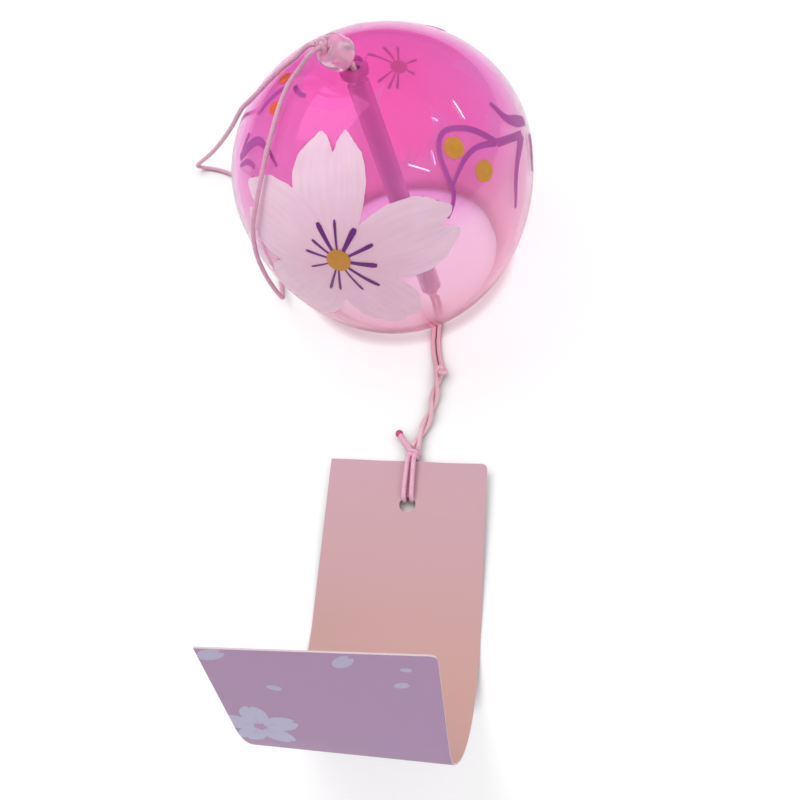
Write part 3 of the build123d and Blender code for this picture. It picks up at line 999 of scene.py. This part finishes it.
# %% Doubled string inside the bell
strand_aside = 0.725 * MM
crown_hole_height = 70.7 * MM
knot_to_knot = 62.76 * MM
end_knot_centre = clapper_pivot + clapper_down * knot_to_knot
clapper_across = Vector((clapper_down.y, -clapper_down.x, 0)).normalized()
bead_across = bead_up.cross(Vector((0, 0, 1))).normalized()


def strands_aside(points, aside, step):
    """Two strands, one on each side of these points."""
    routes = [route_line([point + aside * side for point in points]) for side in (-1, 1)]
    return [plied(route, tight_pitch, step) for route in routes]


def strand_pair(name, points, aside, body, finish, replaces, step=string_step):
    pair = strands_aside(points, aside, step)
    return finish_piece(join(name, pair), name, body, finish, [replaces])


crown_points = [
    loop_knot_centre - bead_up * 2.0 * MM,
    bead_centre - bead_up * 3.9 * MM,
    bell_base + bell_up * crown_hole_height,
    clapper_pivot + bell_up * 1.8 * MM,
]
crown_aside = bead_across * strand_aside
strand_pair("crown_string", crown_points, crown_aside, "bell", tail_string_finish, "crown_cord")
clapper_points = [clapper_pivot + clapper_down * 1.7 * MM, end_knot_centre - clapper_down * 1.6 * MM]
clapper_like = (clapper_across * strand_aside, "clapper", inner_string_finish, "clapper_cord", 0.6 * MM)
strand_pair("clapper_string", clapper_points, *clapper_like)
knot("hanging_knot", clapper_pivot, 1.6, 1.0, bell_up, "hanger", inner_string_finish, "inner_knot")
end_knot_name = "clapper_end_knot_string"
end_knot_like = (1.9, 1.15, clapper_down, "clapper", tail_string_finish, "clapper_end_knot")
knot(end_knot_name, end_knot_centre, *end_knot_like)

# %% [markdown]
# Between the clapper's knot and the rim the string gives way when the clapper moves. It is two
# pieces, one for each of the clapper's two joints, and they meet half way.

# %% String inside the mouth
side_step = Vector((strand_aside, 0, 0))
inner_top = end_knot_centre + clapper_down * 1.7 * MM
inner_bend = beside_bell((10.5, -19.2, 3.3))
inner_middle = beside_bell((10.5, -20.0, 1.985))
inner_foot = beside_bell((10.5, -20.8, 0.67))
rim_start = beside_bell((10.5, -22.8, 0.67))
rim_end = beside_bell((10.5, -30.4, 0.67))


def bending_pair(name, points, bodies, replaces):
    piece = join(name, strands_aside(points, side_step, fine_step))
    piece.data.materials.clear()
    piece.data.materials.append(tail_string_finish)
    points[0]
    points[-1]
    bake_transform(piece)
    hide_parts(*replaces)
    print(name, "bends between", *bodies)


upper_points = [inner_top, inner_bend, inner_middle]
lower_points = [inner_middle, inner_foot, rim_start]
rim_points = [rim_start, (rim_start + rim_end) / 2, rim_end]
bending_pair("inner_string_upper", upper_points, ("clapper", "hanger"), ["inner_tail_upper"])
bending_pair("inner_string_lower", lower_points, ("hanger", "bell"), ["inner_tail_lower"])
strand_pair("rim_string", rim_points, side_step, "bell", tail_string_finish, "rim_cord")

# %% [markdown]
# In front of the rim the doubled string lies on the table: side by side as far as a small knot,
# then the two strands twist round each other to the knot at the paper's head. Each strand has
# its own line, so its length can be measured.

# %% String in front of the bell
tail_middle = [
    beside_bell(place)
    for place in (
        (10.5, -30.4, 0.70), (10.8, -33.6, 0.70), (11.5, -36.8, 0.80), (12.2, -40.0, 1.20),
        (12.3, -41.2, 1.50), (12.2, -42.6, 1.50), (11.8, -45.6, 1.42), (11.5, -49.6, 1.42),
        (10.9, -53.8, 1.42), (9.7, -58.0, 1.42), (8.3, -61.6, 1.50), (7.6, -64.6, 1.80),
    )
]
tail_step = 0.25 * MM
tail_line = evenly(route_line(tail_middle), tail_step)
tail_length = line_length(tail_line)
flat_share = 0.30
twist_pitch = 16.0 * MM


def tail_strand(side):
    strand = []
    frames = line_frames(tail_line)
    for index, (point, across, over) in enumerate(frames):
        share = index / (len(frames) - 1)
        turn = tau * max(0.0, share - flat_share) * tail_length / twist_pitch
        level = Vector((across.x, across.y, 0)).normalized()
        strand.append(point + (level * cos(turn) + Vector((0, 0, 1)) * sin(turn)) * side * strand_aside)
    return strand


tail_strands = []
for side, label in ((-1, "left"), (1, "right")):
    line = tail_strand(side)
    strand = plied(line, tail_pitch, tail_step)
    stands_for = ["tail_cord", "lower_cord"]
    finish_piece(strand, "tail_string_" + label, "tail", tail_string_finish, stands_for)
    tail_strands.append((strand, line))
mid_knot_centre = beside_bell((12.8, -41.2, 1.95))
mid_knot_like = (2.0, 1.25, Vector((0.3, 1, 0.2)), "tail", tail_string_finish, "mid_knot")
mid_knot = knot("mid_knot_string", mid_knot_centre, *mid_knot_like)

# %% Tie knot with the cut end of the string
coil_radius = 1.4 * MM
coil_step = 1.15 * MM
coil_turns = 2.3
coil_along = Vector((0.16, 0.98, 0.05)).normalized()
coil_side = coil_along.cross(Vector((0, 0, 1))).normalized()
coil_over = coil_side.cross(coil_along)
coil_points = 70
coil_line = []
for number in range(coil_points):
    share = number / (coil_points - 1) - 0.5
    turn = tau * coil_turns * share
    round_place = (coil_side * cos(turn) + coil_over * sin(turn)) * coil_radius
    coil_line.append(tie_knot_centre + round_place + coil_along * share * coil_turns * coil_step)
tie_knot_coil = tube(coil_line, 1.1 * MM)
end_line = route_line([tie_knot_centre, beside_bell((5.4, -64.4, 2.4)), beside_bell((3.0, -60.3, 1.6))])
cut_end = plied(end_line, 2.8 * MM, string_step, diameter=1.7 * MM)
tie_knot = join("tie_knot", [tie_knot_coil, cut_end])
finish_piece(tie_knot, "tie_knot_string", "tail", tie_string_finish, ["tie_knot"])
tip_finish = cord_material("melted_tip", colour("E8588E"), colour("C23A74"), threads=1.0)
deselect()
bpy.ops.mesh.primitive_uv_sphere_add(
    segments=24, ring_count=16, radius=1.05 * MM, location=end_line[-1], calc_uvs=True
)
tip = bpy.context.object
tip.data.uv_layers[0].name = "cord"
bpy.ops.object.transform_apply(location=True, rotation=True, scale=True)
smooth(tip, 80)
finish_piece(tip, "melted_cord_tip", "tail", tip_finish)

# %% [markdown]
# The tie goes over the paper's head, down through the punched hole and back under the head. The
# two strands spread as wide as the hole and come together at the knot.

# %% Tie strands
tie_side = (
    (-66.3, 2.5, 0.0), (-67.8, 3.5, 0.05), (-69.6, 4.3, 0.3), (-73.0, 3.95, 0.6),
    (-76.8, 3.6, 0.9), (-79.5, 3.2, 1.0), (-80.1, 1.9, 1.0), (-79.3, 0.75, 1.0),
    (-76.8, 0.67, 0.8), (-72.0, 0.67, 0.4), (-68.5, 0.8, 0.1),
)
tie_pieces = []
for side in (-1, 1):
    points = []
    for y, z, spread in tie_side:
        middle_x = 7.3 + spread * -0.3
        points.append(beside_bell((middle_x + side * (0.72 + spread * 0.28), y, z)))
    tie_pieces.append(plied(route_line(points), tail_pitch, fine_step))
tie_strands = join("tie", tie_pieces)
finish_piece(tie_strands, "tie_string", "tie", tie_string_finish, ["tie_loop"])
for strand, line in tail_strands:
    line_length(line)

# %% [markdown]
# The paper strip is a card with a pink face and a lilac back. It is made flat, with its hole
# punched, and only then bent: each vertex moves to its place on the strip's side line, which
# slopes down from the head, curls up, and leans back to a straight tip. The head was cut a little
# askew, and towards the tip the strip drifts to the right.

# %% Paper strip
strip_width = 41.0 * MM
strip_length = 138.0 * MM
paper = 0.35 * MM
strip_middle_x = bell_base.x + 6.3 * MM
strip_head_y = bell_base.y - 69.2 * MM
strip_head_z = 2.466 * MM
strip_slope = radians(3.208)
flat_run = 43.07 * MM
curl_radius = 35.5 * MM
curl_turn = radians(105.208)
corner_round = 1.2 * MM
drift_start = 93 * MM
drift_run = 45 * MM


def strip_point(aside, along, lift):
    """A point of the bent strip: across it, along it from the head, and up from its under face."""
    if along <= flat_run:
        tangent, u, v = -strip_slope, along * cos(strip_slope), strip_head_z - along * sin(strip_slope)
    else:
        turn = min((along - flat_run) / curl_radius, curl_turn)
        tangent = turn - strip_slope
        bend_u, bend_v = flat_run * cos(strip_slope), strip_head_z - flat_run * sin(strip_slope)
        centre_u = bend_u + curl_radius * sin(strip_slope)
        centre_v = bend_v + curl_radius * cos(strip_slope)
        beyond = max(0.0, along - flat_run - curl_radius * curl_turn)
        u = centre_u + curl_radius * sin(tangent) + beyond * cos(tangent)
        v = centre_v - curl_radius * cos(tangent) + beyond * sin(tangent)
    u, v = u - lift * sin(tangent), v + lift * cos(tangent)
    curled = min(1.0, max(0.0, (along - drift_start) / drift_run))
    askew = aside * (0.055 - 0.045 * curled)
    drift = curled * (2.55 * MM + 0.032 * aside)
    return Vector((strip_middle_x + aside + drift, strip_head_y - u - askew, v))


def rounded(aside, along):
    """Rounds the right corners by pressing the square at each corner into a quarter disc."""
    across = aside - (strip_width / 2 - corner_round)
    ahead = abs(along - strip_length / 2) - (strip_length / 2 - corner_round)
    if across <= 0 or ahead <= 0:
        return aside, along
    s, t = across / corner_round, ahead / corner_round
    s, t = s * sqrt(1 - t * t / 2), t * sqrt(1 - s * s / 2)
    new_aside = strip_width / 2 - corner_round + corner_round * s
    reach = strip_length / 2 - corner_round + corner_round * t
    return new_aside, strip_length / 2 + (reach if along > strip_length / 2 else -reach)


def strip_face():
    deselect()
    bpy.ops.mesh.primitive_grid_add(x_subdivisions=40, y_subdivisions=140, size=1, calc_uvs=True)
    piece = bpy.context.object
    for vertex in piece.data.vertices:
        aside, along = rounded(vertex.co.x * strip_width, (vertex.co.y + 0.5) * strip_length)
        vertex.co = (aside, along, paper)
    layer = piece.data.uv_layers[0]
    for loop, corner in zip(piece.data.loops, layer.data):
        place = piece.data.vertices[loop.vertex_index].co
        corner.uv = (place.x / MM, place.y / MM)
    layer.name = "print"
    return piece


strip = strip_face()
hole_place = (0.7 * MM, 12 * MM, 0)
hole_radius = 2.1 * MM
bpy.ops.mesh.primitive_cylinder_add(
    vertices=48, radius=hole_radius, depth=10 * MM, location=hole_place
)
punch = bpy.context.object
for face_finish in ("paper_front", "paper_back", "paper_edge"):
    strip.data.materials.append(bpy.data.materials.new(face_finish))
modify(strip, "SOLIDIFY", thickness=paper, offset=-1, material_offset=1, material_offset_rim=2)
modify(strip, "BOOLEAN", object=punch, operation="DIFFERENCE", solver="EXACT")
bpy.data.objects.remove(punch)
for vertex in strip.data.vertices:
    aside, along, lift = vertex.co
    wave = 0.12 * MM * sin(aside / MM * 0.35 + 1.0) * (1 - min(1.0, along / (30 * MM)))
    vertex.co = strip_point(aside, along, lift + wave)
smooth(strip, 40)
print("strip", strip.dimensions, "faces", len(strip.data.polygons))

# %% [markdown]
# Each face is printed, so its pattern lives in flat coordinates: millimetres across the strip and
# millimetres from its head. One node group draws a cherry blossom of five notched petals, and
# another draws one loose petal.


# %% Print groups
def turned_vector(tree, given):
    """The place measured from the figure's centre, turned and divided by its size."""
    shift = add_node(tree, "VectorMath", Vector=given.outputs["UV"])
    shift.operation = "SUBTRACT"
    give(tree, shift.inputs[1], given.outputs["Centre"])
    spin = add_node(tree, "VectorRotate", Vector=shift.outputs[0], Angle=given.outputs["Turn"])
    spin.rotation_type = "Z_AXIS"
    size = add_node(tree, "VectorMath", Vector=spin.outputs[0])
    size.operation = "SCALE"
    feed(tree, size, Scale=math(tree, "DIVIDE", 1.0, given.outputs["Size"]))
    return split(tree, size.outputs[0])[:2]


def squares(tree, first, second):
    """The sum of the squares of two values."""
    return plus(tree, times(tree, first, first), times(tree, second, second))


def petal_mask(tree, along, aside, middle, half_length, half_width, notch_from):
    """An ellipse with a notch cut into its far end."""
    first = math(tree, "DIVIDE", minus(tree, along, middle), half_length)
    second = math(tree, "DIVIDE", aside, half_width)
    inside = times(tree, minus(tree, 1.0, squares(tree, first, second)), 9.0, clamp=True)
    notch = times(tree, minus(tree, along, notch_from), 0.75)
    cut = minus(tree, notch, math(tree, "ABSOLUTE", aside))
    return times(tree, inside, minus(tree, 1.0, times(tree, cut, 30.0, clamp=True)))


figure_inputs = [
    ("UV", "Vector", None),
    ("Centre", "Vector", None),
    ("Size", "Float", 10.0),
    ("Turn", "Float", 0.0),
]


def make_blossom_group():
    tree, given, out = group("printed_blossom", figure_inputs, [("Mask", "Float"), ("Heart", "Float")])
    x, y = turned_vector(tree, given)
    radius = math(tree, "SQRT", squares(tree, x, y))
    angle = math(tree, "ARCTAN2", y, x)
    fifth = tau / 5
    shifted = math(tree, "FLOORED_MODULO", plus(tree, angle, fifth / 2), fifth)
    local = minus(tree, shifted, fifth / 2)
    along = times(tree, radius, math(tree, "COSINE", local))
    aside = times(tree, radius, math(tree, "SINE", local))
    feed(tree, out, Mask=petal_mask(tree, along, aside, 0.56, 0.44, 0.33, 0.86))
    from_spoke = minus(tree, 0.022, math(tree, "ABSOLUTE", aside))
    spoke = times(tree, from_spoke, 60.0, clamp=True)
    heart = times(tree, spoke, math(tree, "LESS_THAN", radius, 0.42))
    feed(tree, out, Heart=math(tree, "MAXIMUM", heart, math(tree, "LESS_THAN", radius, 0.1)))
    return tree


def make_petal_group():
    tree, given, out = group("printed_petal", figure_inputs, [("Mask", "Float")])
    x, y = turned_vector(tree, given)
    feed(tree, out, Mask=petal_mask(tree, x, y, 0.0, 0.5, 0.3, 0.3))
    return tree


blossom_group = make_blossom_group()
petal_group = make_petal_group()


# %% Paper materials
def paper_material(made, base, tint, figure=None, blossoms=(), petals=(), fade=None):
    made.use_nodes = True
    tree = made.node_tree
    shader = tree.nodes["Principled BSDF"]
    uv = uv_map(tree, "print")
    fibres = noise(tree, uv, 3.2, 6.0)
    shade = mix_colour(tree, fibres, base, tint)
    if fade:
        down = math(tree, "DIVIDE", split(tree, uv)[1], 60.0, clamp=True)
        shade = mix_colour(tree, down, shade, fade)
    for middle, size, turn in blossoms:
        marks = use_group(tree, blossom_group, UV=uv, Centre=middle, Size=size, Turn=radians(turn))
        shade = mix_colour(tree, marks["Mask"], shade, figure)
        shade = mix_colour(tree, times(tree, marks["Heart"], 0.6), shade, base)
    for middle, size, turn in petals:
        marks = use_group(tree, petal_group, UV=uv, Centre=middle, Size=size, Turn=radians(turn))
        shade = mix_colour(tree, times(tree, marks["Mask"], 0.8), shade, figure)
    feed(tree, shader, Base_Color=shade, Roughness=0.55, Specular_IOR_Level=0.35)
    bump(tree, shader, noise(tree, uv, 7.0, 5.0), 0.02 * MM, 0.35)
    return made


front_paper, back_paper, edge_paper = strip.data.materials
paper_material(front_paper, colour("D2ABB8"), colour("CBA2AF"), fade=colour("CCA39B"))
printed_blossoms = [((-15.1, 109.3, 0), 8.3, -21)]
printed_petals = [
    ((-18.0, 136.0, 0), 5.8, -25),
    ((4.7, 135.2, 0), 5.0, -47),
    ((-9.0, 125.1, 0), 3.0, 20),
    ((15.1, 133.4, 0), 2.2, 0),
    ((13.9, 128.3, 0), 3.0, -20),
]
lilac, mauve, print_white = colour("BC99BC"), colour("B592B6"), colour("C4BFDC")
paper_material(back_paper, lilac, mauve, print_white, printed_blossoms, printed_petals)
paper_material(edge_paper, colour("E2CFD4"), colour("D6C0C8"))
finish_piece(strip, "paper_strip", "strip", None, ["tanzaku"])

# %% [markdown]
# The table is a plain pale floor. It is lit by one large soft lamp, a weaker one from the other
# side, and a pale room. Where the camera sees the floor, white light is added so that it reads as
# the white paper of a product photograph; the soft shadow under the bell stays. In tight gaps the
# added white fades and the floor's colour is painted a dark brown there: painted shade. Four thin
# lamps give the globe its glints.


# %% Floor
def floor_material():
    made, tree, shader = material("white_table")
    path = add_node(tree, "LightPath")
    seen = math(tree, "MAXIMUM", path.outputs["Is Camera Ray"], path.outputs["Is Transmission Ray"])
    glow = add_node(tree, "Emission", Color=(1, 1, 1, 1), Strength=1.12)
    open_share = add_node(tree, "AmbientOcclusion", Distance=4 * MM).outputs["AO"]
    seen = times(tree, seen, math(tree, "POWER", open_share, 2.0))
    # painted shade: the floor's colour turns from white to a dark brown where ambient occlusion finds a
    # tight gap, as under the paper's hole
    base = mix_colour(tree, open_share, (0.24, 0.15, 0.14, 1), (0.9, 0.9, 0.9, 1))
    feed(tree, shader, Base_Color=base, Roughness=0.8)
    mix_to_surface(tree, times(tree, seen, 0.62), shader, glow)
    return made


deselect()
bpy.ops.mesh.primitive_plane_add(size=4)
floor = bpy.context.object
floor.name = "table"
floor.data.materials.append(floor_material())


# %% Lamps and room
def soft_lamp(name, place, power, size, height=None):
    data = bpy.data.lights.new(name, "AREA")
    data.energy = power
    data.size = size
    if height:
        data.shape = "RECTANGLE"
        data.size_y = height
    lamp = add_object(name, data)
    lamp.location = place
    lamp.rotation_euler = (Vector((0, 0.02, 0.03)) - Vector(place)).to_track_quat("-Z", "Y").to_euler()
    return lamp


soft_lamp("key", (-0.35, 0.25, 0.75), power=3.7, size=0.5).visible_glossy = False
soft_lamp("fill", (0.6, -0.5, 0.6), power=1.5, size=0.6).visible_glossy = False


def glint_lamp(name, start, end, power, tint):
    """A thin lamp from one end to the other that faces the globe."""
    first, last = Vector(start), Vector(end)
    middle = (first + last) / 2
    lamp = soft_lamp(name, middle, power, (last - first).length, glint_width)
    lamp.data.color = tint
    along = (last - first).normalized()
    back = middle - (bell_base + bell_up * widest_height)
    back = (back - along * back.dot(along)).normalized()
    lamp.rotation_euler = turn_to(along, back.cross(along), back).to_euler()


glint_width = 8 * MM
white, violet = (1, 1, 1), (0.8, 0.7, 1)
glint_lamp("glint_right", (0.407, 0.353, 0.411), (0.498, 0.254, 0.368), 0.12, white)
glint_lamp("glint_front", (0.276, -0.208, 0.546), (0.414, -0.206, 0.443), 0.12, white)
glint_lamp("glint_high", (0.359, 0.175, 0.541), (0.395, 0.165, 0.516), 0.03, violet)
glint_lamp("glint_low", (0.407, -0.060, 0.510), (0.443, -0.152, 0.444), 0.05, violet)
world = bpy.data.worlds.new("room")
bpy.context.scene.world = world
world.use_nodes = True
tree = world.node_tree
path = add_node(tree, "LightPath")
room_light, less_in_reflections, more_to_camera = 0.56, -0.40, 0.44
dimmed = math(tree, "MULTIPLY_ADD", path.outputs["Is Glossy Ray"], less_in_reflections, room_light)
seen_room = math(tree, "MULTIPLY_ADD", path.outputs["Is Camera Ray"], more_to_camera, dimmed)
feed(tree, tree.nodes["Background"], Color=(1, 1, 1, 1), Strength=seen_room)
bpy.context.scene.view_settings.view_transform = "Standard"

# %% End
print("scene built")
